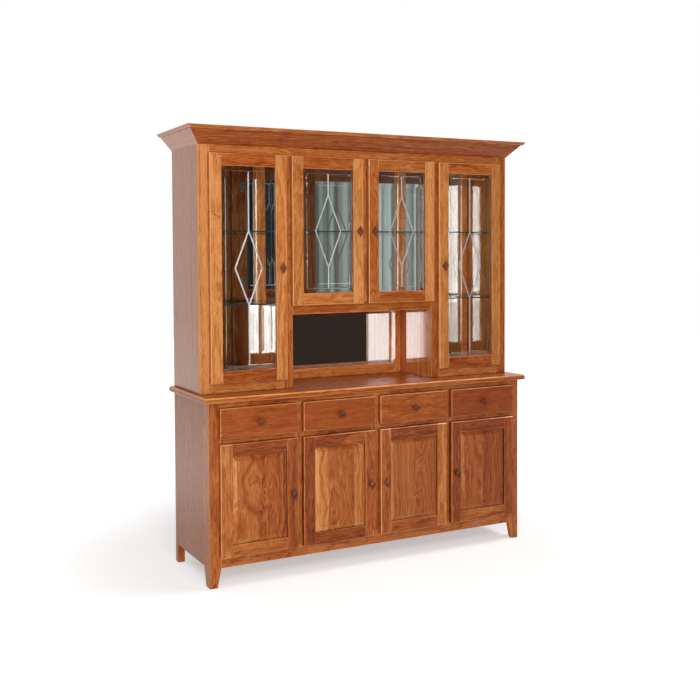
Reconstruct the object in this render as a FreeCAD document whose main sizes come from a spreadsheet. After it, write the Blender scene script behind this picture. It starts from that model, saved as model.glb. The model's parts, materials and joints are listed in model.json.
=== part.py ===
import FreeCAD, Part
import os
import re
import Sketcher

# Sideboard with a china hutch standing on it, in millimetres.
# X runs along the front, Y from front to back, Z up. The origin lies on the floor under the middle of
# the whole piece.

# Driving dimensions
SIZES = {
    # whole piece
    "case_width": "1746",
    "base_depth": "450",
    "counter_height": "864",
    "overall_height": "2083",
    "hutch_depth": "348",
    # stock
    "board_thickness": "19",
    "frame_thickness": "22",
    "back_thickness": "6",
    "back_recess": "20",
    # countertop
    "counter_thickness": "25",
    "counter_overhang": "26",
    "counter_top_round": "9",
    "counter_low_round": "4",
    # posts and feet
    "leg_height": "88",
    "front_post_depth": "70",
    "foot_width": "34",
    "foot_depth": "40",
    "rear_post": "34",
    # what shows of the face frames between doors and drawers
    "outer_stile_show": "48",
    "door_gap": "30",
    "door_overlay": "8",
    "base_top_show": "25",
    "drawer_height": "139",
    "drawer_rail_show": "25",
    "bottom_rail_show": "47",
    "hutch_bottom_show": "46",
    "hutch_top_show": "38",
    "nook_height": "354",
    "centre_rail_show": "40",
    # doors
    "door_thickness": "20",
    "door_stand_off": "2.5",
    "door_member": "57",
    "edge_ease": "3",
    "groove_width": "6",
    "groove_depth": "9",
    "groove_setback": "7",
    "panel_float": "0.4",
    "panel_bevel": "22",
    "panel_set_in": "1",
    "rebate_depth": "9",
    "glass_set_in": "8",
    "glass_edge": "3",
    "glass_rise": "2",
    "glass_bevel": "22",
    # knobs
    "knob_width": "34",
    "knob_length": "52",
    "knob_base": "5",
    "knob_peak": "9",
    "knob_tip": "1",
    "knob_neck_side": "14",
    "knob_neck": "14",
    # concealed hinges
    "cup_radius": "17.5",
    "cup_depth": "11.5",
    "cup_floor": "0.8",
    "cup_setback": "21",
    "pivot_setback": "6.5",
    "pin_radius": "1.2",
    "pin_length": "15",
    "flange_start": "15",
    "flange_width": "25",
    "flange_height": "56",
    "flange_thickness": "2.2",
    "slot_start": "5",
    "slot_length": "25",
    "slot_height": "12",
    "bore_clearance": "0.2",
    "hinge_inset": "100",
    "plate_thickness": "2",
    "plate_height": "46",
    "arm_height": "16",
    "arm_depth": "10",
    # drawers
    "drawer_side_gap": "6",
    "box_height": "100",
    "box_depth": "380",
    "box_wall": "12",
    "box_bottom": "6",
    "box_bottom_lift": "10",
    "box_groove": "6",
    "box_lift": "6",
    "runner_height": "20",
    "runner_ledge_width": "20",
    "guide_height": "12",
    "running_gap": "0.3",
    # shelves
    "base_shelf_lift": "250",
    "base_shelf_set_in": "60",
    "upper_shelf_share": "0.437",
    "lower_shelf_drop": "1",
    "glass_shelf_thickness": "6",
    "shelf_end_gap": "1.5",
    "shelf_pin_width": "8",
    "shelf_pin_thickness": "3",
    "shelf_pin_length": "9",
    "shelf_pin_inset": "30",
    "post_pin_inset": "8",
    # mirrors
    "mirror_edge": "3",
    "mirror_rise": "1.5",
    "mirror_bevel": "15",
    "mirror_gap": "0.5",
    "nook_stile": "36",
    "nook_rail": "50",
    "nook_frame_depth": "44",
    # crown
    "crown_rise": "64",
    "crown_spread": "57",
    "crown_seat": "27",
    "cap_thickness": "15",
    "cap_overhang": "76",
    "cap_bevel": "12",
    "cap_inset": "40",
}

# Sizes that follow from the driving ones
DERIVED = {
    "case_half": "case_width / 2",
    "door_width": "(case_width - 2 * outer_stile_show - 3 * door_gap) / 4",
    "bay_pitch": "door_width + door_gap",
    "outer_stile": "outer_stile_show + door_overlay",
    "middle_stile": "door_gap + 2 * door_overlay",
    "opening_width": "door_width - 2 * door_overlay",
    "knob_projection": "knob_neck + knob_base + knob_peak",
    "knob_reach": "knob_width * knob_length / (2 * sqrt(knob_width ^ 2 + knob_length ^ 2))",
    "knob_slope": "atan((knob_reach - knob_tip) / knob_peak)",
    "door_proud": "door_stand_off + door_thickness",
    "base_front": "(door_proud + knob_projection - base_depth) / 2",
    "case_back": "base_front + base_depth",
    "hutch_front": "case_back - hutch_depth",
    "panel_front": "case_back - back_recess - back_thickness",
    "mirror_front": "panel_front - mirror_edge - mirror_rise",
    "back_post_front": "panel_front - frame_thickness",
    "counter_under": "counter_height - counter_thickness",
    "drawer_top": "counter_under - base_top_show",
    "drawer_low": "drawer_top - drawer_height",
    "base_door_top": "drawer_low - drawer_rail_show",
    "base_door_low": "leg_height + bottom_rail_show",
    "base_door_height": "base_door_top - base_door_low",
    "base_floor_top": "base_door_low + door_overlay",
    "cupboard_shelf_low": "base_floor_top + base_shelf_lift",
    "cupboard_shelf_front": "base_front + front_post_depth + base_shelf_set_in",
    "cupboard_shelf_depth": "case_back - rear_post - cupboard_shelf_front",
    "hutch_case_top": "overall_height - cap_thickness",
    "crown_low": "hutch_case_top - crown_rise",
    "hutch_door_top": "crown_low - hutch_top_show",
    "tall_door_low": "counter_height + hutch_bottom_show",
    "tall_door_height": "hutch_door_top - tall_door_low",
    "nook_top": "counter_height + nook_height",
    "short_door_low": "nook_top + centre_rail_show",
    "short_door_height": "hutch_door_top - short_door_low",
    "tall_floor_top": "tall_door_low + door_overlay",
    "centre_floor_top": "short_door_low + door_overlay",
    "hutch_ceiling": "hutch_case_top - board_thickness",
    "upper_shelf_low": "centre_floor_top + upper_shelf_share * (hutch_ceiling - centre_floor_top)",
    "lower_shelf_low": "centre_floor_top - lower_shelf_drop",
    "glass_shelf_front": "hutch_front + frame_thickness + shelf_end_gap",
    "glass_shelf_depth": "back_post_front - shelf_end_gap - glass_shelf_front",
    "bay_wall": "case_half - board_thickness",
    "inner_post": "bay_pitch - middle_stile / 2",
    "outer_post": "case_half - outer_stile",
    "partition_face": "inner_post + board_thickness",
    "deck_low": "centre_floor_top - board_thickness",
    "box_low": "drawer_low + door_overlay + box_lift",
    "box_width": "opening_width - 2 * drawer_side_gap",
    "box_front": "base_front - door_stand_off",
}

BAYS = range(1, 5)
LEFT, RIGHT = -1, 1
SIDES = {LEFT: "left", RIGHT: "right"}
PARTITIONS = {-1: "left", 0: "middle", 1: "right"}

# Doors one and two are hung on the left, three and four on the right
HUNG_LEFT = range(1, 3)

# Two hinges on a low door, three on a tall one, as shares of the length between the end hinges
PAIR_SHARES = (0, 1)
TRIPLE_SHARES = (0, 0.5, 1)

AXIS_RIGHT = FreeCAD.Vector(1, 0, 0)
AXIS_BACK = FreeCAD.Vector(0, 1, 0)
AXIS_UP = FreeCAD.Vector(0, 0, 1)
EIGHTH_TURN = 45
QUARTER_TURN = 90
HALF_TURN = 180

document = FreeCAD.newDocument("china_hutch")
sheet = document.addObject("Spreadsheet::Sheet", "sizes")
nodes = {}


def fill_sheet():
    """Write the driving sizes as plain numbers and the derived ones as formulas."""
    row = 0
    for alias, value in SIZES.items():
        row += 1
        sheet.set(f"A{row}", alias)
        sheet.set(f"B{row}", value)
        sheet.setAlias(f"B{row}", alias)
    for alias, formula in DERIVED.items():
        row += 1
        sheet.set(f"A{row}", alias)
        sheet.set(f"B{row}", "=" + formula)
        sheet.setAlias(f"B{row}", alias)
    document.recompute()


def from_sheet(text):
    """Turn bare size names in a formula into references to the sheet."""
    return re.sub(r"\b([a-z]+(?:_[a-z]+)+)\b", r"sizes.\1", text)


def bind(thing, **formulas):
    """Bind properties of an object to formulas of the sheet's sizes."""
    for name, formula in formulas.items():
        thing.setExpression(name, from_sheet(formula))
    return thing


def place(thing, x, y, z):
    """Bind an object's place to the sheet."""
    for axis, formula in zip("xyz", (x, y, z)):
        thing.setExpression("Placement.Base." + axis, from_sheet(formula))
    return thing


def turn(thing, rotation):
    """Turn an object before its place is bound."""
    thing.Placement = FreeCAD.Placement(FreeCAD.Vector(), rotation)
    return thing


def board(label, x, y, z, length, width, height):
    """A plain board, from its lowest corner and its sizes along X, Y and Z."""
    box = document.addObject("Part::Box", label)
    bind(box, Length=length, Width=width, Height=height)
    return place(box, x, y, z)


def rod(label, x, y, z, radius, length, axis=None):
    """A round rod along Z, or along another axis."""
    cylinder = document.addObject("Part::Cylinder", label)
    bind(cylinder, Radius=radius, Height=length)
    if axis is not None:
        turn(cylinder, FreeCAD.Rotation(AXIS_UP, axis))
    return place(cylinder, x, y, z)


def rise(label, x, y, z, base, top, height, diamond=False):
    """A block that rises towards the front from a base rectangle to a smaller top one."""
    wedge = document.addObject("Part::Wedge", label)
    bind(wedge, Xmin=f"-({base[0]}) / 2", Xmax=f"({base[0]}) / 2")
    bind(wedge, Zmin=f"-({base[1]}) / 2", Zmax=f"({base[1]}) / 2")
    bind(wedge, X2min=f"-({top[0]}) / 2", X2max=f"({top[0]}) / 2")
    bind(wedge, Z2min=f"-({top[1]}) / 2", Z2max=f"({top[1]}) / 2")
    bind(wedge, Ymin="0", Ymax=height)
    towards_front = FreeCAD.Rotation(AXIS_RIGHT, HALF_TURN)
    if diamond:
        towards_front = FreeCAD.Rotation(AXIS_BACK, EIGHTH_TURN) * towards_front
    turn(wedge, towards_front)
    return place(wedge, x, y, z)


def cut(label, base, tool):
    """Take one solid out of another."""
    result = document.addObject("Part::Cut", label)
    result.Base = base
    result.Tool = tool
    return result


def keep(label, base, tool):
    """Keep only what two solids share."""
    result = document.addObject("Part::Common", label)
    result.Base = base
    result.Tool = tool
    return result


def join(label, pieces):
    """Make one solid of several that belong to one piece."""
    result = document.addObject("Part::MultiFuse", label)
    result.Shapes = pieces
    result.Refine = True
    return result


def node(label, pieces):
    """One named sub-part: a single solid, or a group of separate ones."""
    group = document.addObject("Part::Compound", label)
    group.Links = pieces
    group.Label = label
    nodes[label] = group
    return group


def origin_plane(body, role):
    """One of a body's own origin planes."""
    return next(plane for plane in body.Origin.OriginFeatures if plane.Role == role)


def outline(body, role, points):
    """A closed sketch through points given as pairs of formulas, every corner held from the origin."""
    sketch = body.newObject("Sketcher::SketchObject", body.Name + "_outline")
    sketch.AttachmentSupport = [(origin_plane(body, role), "")]
    sketch.MapMode = "FlatFace"
    corners = [(evaluate(across), evaluate(up)) for across, up in points]
    count = len(corners)
    for index, (across, up) in enumerate(corners):
        next_across, next_up = corners[(index + 1) % count]
        start = FreeCAD.Vector(across, up, 0)
        end = FreeCAD.Vector(next_across, next_up, 0)
        sketch.addGeometry(Part.LineSegment(start, end), False)
    for index in range(count):
        sketch.addConstraint(Sketcher.Constraint("Coincident", index, 2, (index + 1) % count, 1))
    for index, pair in enumerate(points):
        for direction, formula, value in zip(("DistanceX", "DistanceY"), pair, corners[index]):
            held = Sketcher.Constraint(direction, -1, 1, index, 1, value)
            number = sketch.addConstraint(held)
            sketch.setExpression(f"Constraints[{number}]", from_sheet(formula))
    return sketch


def evaluate(formula):
    """The present value of a formula of the sheet's sizes."""
    return float(sheet.evalExpression(from_sheet(formula)))


def extrusion(label, role, points, length):
    """A body padded evenly to both sides of one of its origin planes."""
    body = document.addObject("PartDesign::Body", label)
    sketch = outline(body, role, points)
    pad = body.newObject("PartDesign::Pad", label + "_pad")
    pad.Profile = sketch
    pad.SideType = "Symmetric"
    pad.setExpression("Length", from_sheet(length))
    body.Tip = pad
    document.recompute()
    return body


def tapered(label, role, points, length, slope):
    """A body padded from one of its origin planes, with sides that lean in by an angle."""
    body = document.addObject("PartDesign::Body", label)
    sketch = outline(body, role, points)
    pad = body.newObject("PartDesign::Pad", label + "_pad")
    pad.Profile = sketch
    pad.setExpression("Length", from_sheet(length))
    pad.setExpression("TaperAngle", from_sheet(f"-{slope}"))
    body.Tip = pad
    document.recompute()
    return body


def edges_where(body, test):
    """Names of the edges of a body's tip whose middle passes a test."""
    names = []
    for number, edge in enumerate(body.Tip.Shape.Edges, start=1):
        middle = edge.CenterOfMass
        if test(middle):
            names.append(f"Edge{number}")
    return names


def dress(body, kind, size_property, size, test):
    """Round or chamfer the chosen edges of a body."""
    base = body.Tip
    edges = edges_where(body, test)
    feature = body.newObject("PartDesign::" + kind, f"{body.Name}_{size}")
    feature.Base = (base, edges)
    feature.setExpression(size_property, from_sheet(size))
    body.Tip = feature
    document.recompute()
    return body


def eased_slab(label, x, face, z, width, height):
    """A door's or drawer front's whole outline, with its front edges eased."""
    right, top = f"({width}) / 2", f"({height}) / 2"
    left, low = f"-{right}", f"-{top}"
    corners = [(left, low), (right, low), (right, top), (left, top)]
    slab = extrusion(label, "XZ_Plane", corners, "door_thickness")
    front = -evaluate("door_thickness") / 2
    dress(slab, "Chamfer", "Size", "edge_ease", lambda middle: middle.y < front / 2)
    return place(slab, x, f"{face} + door_thickness / 2", z)


def bay_left(number):
    """Left edge of a door or drawer front."""
    return f"(-case_half + outer_stile_show + {number - 1} * bay_pitch)"


def bay_middle(number):
    """Middle of a door or drawer front."""
    return f"({bay_left(number)} + door_width / 2)"


def mirrored(side, start, length):
    """Lowest X of a board that starts at a distance from the middle, on one side of it."""
    if side == LEFT:
        return f"-({start}) - ({length})"
    return start


def from_hinge(number, start, length="0"):
    """Lowest X of a piece that starts at a distance from a door's hinge edge."""
    if number in HUNG_LEFT:
        return f"{bay_left(number)} + ({start})"
    return f"{bay_left(number)} + door_width - ({start}) - ({length})"


def base_posts():
    posts = []
    for side, name in SIDES.items():
        upper = board(f"front_post_{name}_shaft", mirrored(side, "case_half - outer_stile", "outer_stile"),
                      "base_front", "leg_height", "outer_stile", "front_post_depth",
                      "counter_under - leg_height")
        foot = document.addObject("Part::Wedge", f"front_post_{name}_foot")
        bind(foot, Ymin="0", Ymax="leg_height", Zmin="-foot_depth", Zmax="0")
        bind(foot, Z2min="-front_post_depth", Z2max="0")
        if side == LEFT:
            bind(foot, Xmin="-case_half", Xmax="-case_half + foot_width")
            bind(foot, X2min="-case_half", X2max="-case_half + outer_stile")
        else:
            bind(foot, Xmin="case_half - foot_width", Xmax="case_half")
            bind(foot, X2min="case_half - outer_stile", X2max="case_half")
        turn(foot, FreeCAD.Rotation(AXIS_RIGHT, QUARTER_TURN))
        place(foot, "0", "base_front", "0")
        posts.append(join(f"front_post_{name}", [upper, foot]))
        posts.append(board(f"rear_post_{name}", mirrored(side, "case_half - rear_post", "rear_post"),
                           "case_back - rear_post", "0", "rear_post", "rear_post", "counter_under"))
    node("base_posts", posts)


def base_sides():
    boards = []
    panel_depth = "base_depth - front_post_depth - rear_post"
    for side, name in SIDES.items():
        boards.append(board(f"base_side_{name}",
                            mirrored(side, "case_half - board_thickness", "board_thickness"),
                            "base_front + front_post_depth", "leg_height",
                            "board_thickness", panel_depth, "counter_under - leg_height"))
    for step, name in PARTITIONS.items():
        boards.append(board(f"base_partition_{name}", f"{step} * bay_pitch - board_thickness / 2",
                            "base_front + frame_thickness", "base_floor_top", "board_thickness",
                            "panel_front - base_front - frame_thickness", "counter_under - base_floor_top"))
    node("base_sides", boards)


def base_face_frame():
    inner = "case_half - outer_stile"
    rail_length = f"2 * ({inner})"
    top_low = "drawer_top - door_overlay"
    members = [
        board("base_top_rail", f"-({inner})", "base_front", top_low,
              rail_length, "frame_thickness", f"counter_under - ({top_low})"),
        board("base_bottom_rail", f"-({inner})", "base_front", "leg_height",
              rail_length, "frame_thickness", "base_floor_top - leg_height"),
    ]
    for step, name in PARTITIONS.items():
        members.append(board(f"base_stile_{name}", f"{step} * bay_pitch - middle_stile / 2", "base_front",
                             "base_floor_top", "middle_stile", "frame_thickness",
                             f"{top_low} - base_floor_top"))
    for number in BAYS:
        members.append(board(f"drawer_rail_{number}", f"{bay_left(number)} + door_overlay", "base_front",
                             "base_door_top - door_overlay", "opening_width", "frame_thickness",
                             "drawer_rail_show + 2 * door_overlay"))
    node("base_face_frame", members)


def base_floor_and_shelves():
    floor = board("base_floor_blank", "-case_half + board_thickness", "base_front + frame_thickness",
                  "base_floor_top - board_thickness", "case_width - 2 * board_thickness",
                  "panel_front - base_front - frame_thickness", "board_thickness")
    corners = []
    for side, name in SIDES.items():
        corners.append(board(f"front_notch_{name}",
                             mirrored(side, "case_half - outer_stile", "outer_stile"),
                             "base_front", "base_floor_top - board_thickness",
                             "outer_stile", "front_post_depth", "board_thickness"))
        corners.append(board(f"rear_notch_{name}", mirrored(side, "case_half - rear_post", "rear_post"),
                             "case_back - rear_post", "base_floor_top - board_thickness",
                             "rear_post", "rear_post", "board_thickness"))
    boards = [cut("base_floor", floor, join("floor_notches", corners))]
    for number in BAYS:
        low, high = bay_walls(number)
        boards.append(board(f"cupboard_shelf_{number}", f"{low} + shelf_end_gap", "cupboard_shelf_front",
                            "cupboard_shelf_low", f"{high} - ({low}) - 2 * shelf_end_gap",
                            "cupboard_shelf_depth", "board_thickness"))
    node("base_floor_and_shelves", boards)


def bay_walls(number):
    """Inner faces of the side and partitions that bound a base cupboard."""
    low = f"({number - 3} * bay_pitch + board_thickness / 2)"
    high = f"({number - 2} * bay_pitch - board_thickness / 2)"
    if number == BAYS[0]:
        low = "(-case_half + board_thickness)"
    if number == BAYS[-1]:
        high = "(case_half - board_thickness)"
    return low, high


def base_back():
    node("base_back", [board("base_back_sheet", "-case_half + rear_post", "panel_front", "leg_height",
                             "case_width - 2 * rear_post", "back_thickness", "counter_under - leg_height")])


def drawer_runners():
    strips = []
    runner_top = "box_low - running_gap"
    depth = "panel_front - base_front - frame_thickness"
    runner_width = "drawer_side_gap + runner_ledge_width"
    guide_width = "drawer_side_gap - running_gap"
    for number in BAYS:
        low = f"{bay_left(number)} + door_overlay"
        high = f"{low} + opening_width"
        right_runner, right_guide = f"{high} - ({runner_width})", f"{high} - ({guide_width})"
        for name, runner_x, guide_x in (("left", low, low), ("right", right_runner, right_guide)):
            strips.append(board(f"runner_{number}_{name}", runner_x, "base_front + frame_thickness",
                                f"{runner_top} - runner_height", runner_width, depth, "runner_height"))
            strips.append(board(f"guide_{number}_{name}", guide_x, "base_front + frame_thickness",
                                runner_top, guide_width, depth, "guide_height"))
    node("drawer_runners", strips)


def countertop():
    half_length = "(case_half + counter_overhang)"
    front = "(base_front - counter_overhang)"
    corners = [(f"-{half_length}", front), (half_length, front), (half_length, "case_back"),
               (f"-{half_length}", "case_back")]
    slab = extrusion("countertop_slab", "XY_Plane", corners, "counter_thickness")
    quarter_thickness = evaluate("counter_thickness / 4")
    sharp_from = evaluate("case_back - counter_overhang")
    dress(slab, "Fillet", "Radius", "counter_top_round",
          lambda middle: middle.z > quarter_thickness and middle.y < sharp_from)
    dress(slab, "Fillet", "Radius", "counter_low_round",
          lambda middle: middle.z < -quarter_thickness and middle.y < sharp_from)
    place(slab, "0", "0", "counter_height - counter_thickness / 2")
    node("countertop", [slab])


def hutch_sides():
    boards = []
    depth = "hutch_depth - frame_thickness"
    for side, name in SIDES.items():
        boards.append(board(f"hutch_side_{name}",
                            mirrored(side, "case_half - board_thickness", "board_thickness"),
                            "hutch_front + frame_thickness", "counter_height",
                            "board_thickness", depth, "hutch_case_top - counter_height"))
        boards.append(board(f"hutch_partition_{name}", mirrored(side, "inner_post", "board_thickness"),
                            "hutch_front + frame_thickness", "counter_height", "board_thickness",
                            "panel_front - hutch_front - frame_thickness", "deck_low - counter_height"))
    node("hutch_sides", boards)


def hutch_decks():
    y = "hutch_front + frame_thickness"
    depth = "panel_front - hutch_front - frame_thickness"
    tall_width = "bay_wall - partition_face"
    boards = [
        board("hutch_top", "-bay_wall", y, "hutch_ceiling", "2 * bay_wall", depth, "board_thickness"),
        board("centre_deck", "-partition_face", y, "deck_low", "2 * partition_face", depth,
              "board_thickness"),
    ]
    for side, name in SIDES.items():
        boards.append(board(f"tall_floor_{name}", mirrored(side, "partition_face", tall_width), y,
                            "tall_floor_top - board_thickness", tall_width, depth, "board_thickness"))
    node("hutch_decks", boards)


def hutch_face_frame():
    inner = "case_half - outer_stile"
    top_rail_low = "hutch_door_top - door_overlay"
    members = [
        board("hutch_top_rail", f"-({inner})", "hutch_front", top_rail_low, f"2 * ({inner})",
              "frame_thickness", f"hutch_case_top - ({top_rail_low})"),
        board("hutch_centre_rail", "-bay_pitch + middle_stile / 2", "hutch_front", "nook_top",
              "2 * bay_pitch - middle_stile", "frame_thickness", "centre_floor_top - nook_top"),
        board("hutch_centre_stile", "-middle_stile / 2", "hutch_front", "centre_floor_top",
              "middle_stile", "frame_thickness", f"{top_rail_low} - centre_floor_top"),
    ]
    for side, name in SIDES.items():
        members.append(board(f"hutch_outer_stile_{name}", mirrored(side, inner, "outer_stile"),
                             "hutch_front", "counter_height", "outer_stile", "frame_thickness",
                             "hutch_case_top - counter_height"))
        members.append(board(f"hutch_stile_{name}",
                             mirrored(side, "bay_pitch - middle_stile / 2", "middle_stile"), "hutch_front",
                             "counter_height", "middle_stile", "frame_thickness",
                             f"{top_rail_low} - counter_height"))
        members.append(board(f"hutch_bottom_rail_{name}",
                             mirrored(side, "bay_pitch + middle_stile / 2", "opening_width"), "hutch_front",
                             "counter_height", "opening_width", "frame_thickness",
                             "tall_floor_top - counter_height"))
    node("hutch_face_frame", members)


def hutch_back():
    """The back sheet, the posts that stand before it behind each stile, and the frame round the nook."""
    frame_y = "panel_front - nook_frame_depth"
    nook_rise = "deck_low - counter_height"
    pieces = [board("hutch_back_sheet", "-bay_wall", "panel_front", "counter_height",
                    "2 * bay_wall", "back_thickness", "hutch_case_top - counter_height")]
    for side, name in SIDES.items():
        pieces.append(board(f"inner_post_{name}", mirrored(side, "inner_post", "middle_stile"),
                            "back_post_front", "centre_floor_top", "middle_stile", "frame_thickness",
                            "hutch_ceiling - centre_floor_top"))
        pieces.append(board(f"outer_post_{name}", mirrored(side, "outer_post", "bay_wall - outer_post"),
                            "back_post_front", "tall_floor_top", "bay_wall - outer_post", "frame_thickness",
                            "hutch_ceiling - tall_floor_top"))
        pieces.append(board(f"nook_stile_{name}", mirrored(side, "inner_post - nook_stile", "nook_stile"),
                            frame_y, "counter_height", "nook_stile", "nook_frame_depth", nook_rise))
    for name, z in (("low", "counter_height"), ("high", "deck_low - nook_rail")):
        pieces.append(board(f"nook_rail_{name}", "-inner_post + nook_stile", frame_y, z,
                            "2 * inner_post - 2 * nook_stile", "nook_frame_depth", "nook_rail"))
    node("hutch_back", pieces)


def mirror_sheet(name, low, high, floor, ceiling):
    """A mirror with bevelled edges that lines the back of one bay."""
    x, z = f"(({low}) + ({high})) / 2", f"(({floor}) + ({ceiling})) / 2"
    whole = (f"({high}) - ({low}) - 2 * mirror_gap", f"({ceiling}) - ({floor}) - 2 * mirror_gap")
    flat = tuple(f"{size} - 2 * mirror_bevel" for size in whole)
    plate = rise(f"mirror_{name}_plate", x, "panel_front", z, whole, whole, "mirror_edge")
    bevel = rise(f"mirror_{name}_bevel", x, "panel_front - mirror_edge", z, whole, flat, "mirror_rise")
    return join(f"mirror_{name}", [plate, bevel])


def mirrors():
    """Mirrors between the posts, and below the deck between the partitions and the outer posts."""
    high_in, low_in = "inner_post + middle_stile", "partition_face"
    node("mirrors", [
        mirror_sheet("left", "-outer_post", f"-({high_in})", "centre_floor_top", "hutch_ceiling"),
        mirror_sheet("right", high_in, "outer_post", "centre_floor_top", "hutch_ceiling"),
        mirror_sheet("low_left", "-outer_post", f"-{low_in}", "tall_floor_top", "centre_floor_top"),
        mirror_sheet("low_right", low_in, "outer_post", "tall_floor_top", "centre_floor_top"),
        mirror_sheet("centre", "-inner_post", "inner_post", "centre_floor_top", "hutch_ceiling"),
        mirror_sheet("nook", "-inner_post + nook_stile", "inner_post - nook_stile",
                     "counter_height + nook_rail", "deck_low - nook_rail"),
    ])


def shelf_pins_at(name, low, high, front, depth, height):
    """Four flat-topped pins, two on each wall, just under a shelf."""
    pins = []
    near = f"{front} + shelf_pin_inset"
    far = f"{front} + {depth} - shelf_pin_inset - shelf_pin_width"
    for end, y in (("front", near), ("rear", far)):
        for wall, x in (("low", low), ("high", f"{high} - shelf_pin_length")):
            pins.append(board(f"pin_{name}_{wall}_{end}", x, y, f"{height} - shelf_pin_thickness",
                              "shelf_pin_length", "shelf_pin_width", "shelf_pin_thickness"))
    return pins


def glass_shelf(name, low, high, height):
    """A glass shelf from the stiles to the posts, with a little air at each end."""
    return board(f"glass_shelf_{name}", f"{low} + shelf_end_gap", "glass_shelf_front", height,
                 f"({high}) - ({low}) - 2 * shelf_end_gap", "glass_shelf_depth", "glass_shelf_thickness")


def post_pins_at(name, low, high, height):
    """Four pins under a glass shelf, on the faces of the posts behind it and the stiles before it."""
    pins = []
    stile_back = "hutch_front + frame_thickness"
    for end, y in (("front", stile_back), ("rear", "back_post_front - shelf_pin_length")):
        for wall, x in (("low", f"{low} + post_pin_inset"),
                        ("high", f"{high} - post_pin_inset - shelf_pin_width")):
            pins.append(board(f"pin_{name}_{wall}_{end}", x, y, f"{height} - shelf_pin_thickness",
                              "shelf_pin_width", "shelf_pin_length", "shelf_pin_thickness"))
    return pins


def shelves_and_pins():
    upper = [("upper_left", "-bay_wall", "-bay_pitch"), ("upper_centre", "-bay_pitch", "bay_pitch"),
             ("upper_right", "bay_pitch", "bay_wall")]
    lower = [("lower_left", "-bay_wall", "-partition_face"), ("lower_right", "partition_face", "bay_wall")]
    shelves = [glass_shelf(*row, "upper_shelf_low") for row in upper]
    shelves += [glass_shelf(*row, "lower_shelf_low") for row in lower]
    pins = [pin for row in upper for pin in post_pins_at(*row, "upper_shelf_low")]
    for name, low, high in lower:
        pins += shelf_pins_at(name, low, high, "glass_shelf_front", "glass_shelf_depth", "lower_shelf_low")
    for number in BAYS:
        low, high = bay_walls(number)
        pins += shelf_pins_at(f"cupboard_{number}", low, high, "cupboard_shelf_front",
                              "cupboard_shelf_depth", "cupboard_shelf_low")
    node("glass_shelves", shelves)
    node("shelf_pins", pins)


def mitre_block(label, outward, inward, low, height):
    """The plan shape that the front length of a moulding keeps, with 45 degree ends."""
    block = document.addObject("Part::Wedge", label)
    bind(block, Ymin=f"hutch_front - ({outward})", Ymax=f"hutch_front + ({inward})")
    bind(block, Xmin=f"-case_half - ({outward})", Xmax=f"case_half + ({outward})")
    bind(block, X2min=f"-case_half + ({inward})", X2max=f"case_half - ({inward})")
    bind(block, Zmin=low, Zmax=f"{low} + {height}", Z2min=low, Z2max=f"{low} + {height}")
    return block


def moulding(name, profile, outward, inward, low, height):
    """Front length and two returns of a moulding, mitred at the corners.

    The profile is pairs of outward distance from the case and height."""
    block = mitre_block(f"{name}_mitre", outward, inward, low, height)
    front_points = [(f"hutch_front - ({out})", up) for out, up in profile]
    length = extrusion(f"{name}_length", "YZ_Plane", front_points, f"case_width + 2 * ({outward})")
    pieces = [keep(f"{name}_front", length, block)]
    return_depth = f"hutch_depth + ({outward})"
    for side, side_name in SIDES.items():
        points = [(f"{side} * (case_half + ({out}))", up) for out, up in profile]
        blank = extrusion(f"{name}_blank_{side_name}", "XZ_Plane", points, return_depth)
        place(blank, "0", f"case_back - ({return_depth}) / 2", "0")
        pieces.append(cut(f"{name}_return_{side_name}", blank, block))
    return pieces


def crown_molding():
    sloping = [("0", "crown_low"), ("crown_spread", "hutch_case_top"),
               ("crown_spread - crown_seat * crown_spread / crown_rise", "hutch_case_top"),
               ("0", "crown_low + crown_seat")]
    cap = [("cap_overhang - cap_bevel", "hutch_case_top"), ("cap_overhang", "overall_height"),
           ("-cap_inset", "overall_height"), ("-cap_inset", "hutch_case_top")]
    node("crown_molding", moulding("crown", sloping, "crown_spread", "0", "crown_low", "crown_rise")
         + moulding("cap", cap, "cap_overhang", "cap_inset", "hutch_case_top", "cap_thickness"))


def knob(label, x, face, z, width, height):
    """A low pyramid knob on a diamond base, on a square neck."""
    slim = ("knob_neck_side", "knob_neck_side")
    neck = rise(f"{label}_neck", x, face, z, slim, slim, "knob_neck", diamond=True)
    right, top = f"{width} / 2", f"{height} / 2"
    corners = [(f"-{right}", "0"), ("0", f"-{top}"), (right, "0"), ("0", top)]
    base = extrusion(f"{label}_base", "XZ_Plane", corners, "knob_base")
    place(base, x, f"{face} - knob_neck - knob_base / 2", z)
    peak = tapered(f"{label}_peak", "XZ_Plane", corners, "knob_peak", "knob_slope")
    place(peak, x, f"{face} - knob_neck - knob_base", z)
    node(label, [join(f"{label}_solid", [neck, base, peak])])


def hinge_heights(low, height, shares):
    """Heights of a door's hinges, spread evenly between the two end ones."""
    return [f"{low} + hinge_inset + {share} * ({height} - 2 * hinge_inset)" for share in shares]


def hinge_cup(label, number, front, z):
    """A cup let into the door's back, with its flange, its slot and the pin that the door turns on."""
    back_y = f"{front} - door_stand_off"
    centre = from_hinge(number, "cup_setback")
    shell = rod(f"{label}_shell", centre, f"{back_y} - cup_depth", z, "cup_radius", "cup_depth", AXIS_BACK)
    flange = board(f"{label}_flange", from_hinge(number, "flange_start", "flange_width"), back_y,
                   f"{z} - flange_height / 2", "flange_width", "flange_thickness", "flange_height")
    slot = board(f"{label}_slot", from_hinge(number, "slot_start", "slot_length"),
                 f"{back_y} - cup_depth + cup_floor", f"{z} - slot_height / 2", "slot_length",
                 "cup_depth + flange_thickness", "slot_height")
    pressed = cut(f"{label}_pressing", join(f"{label}_blank", [shell, flange]), slot)
    pin = rod(f"{label}_pin", from_hinge(number, "pivot_setback"), f"{back_y} - door_thickness / 2",
              f"{z} - pin_length / 2", "pin_radius", "pin_length")
    return join(label, [pressed, pin])


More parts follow.
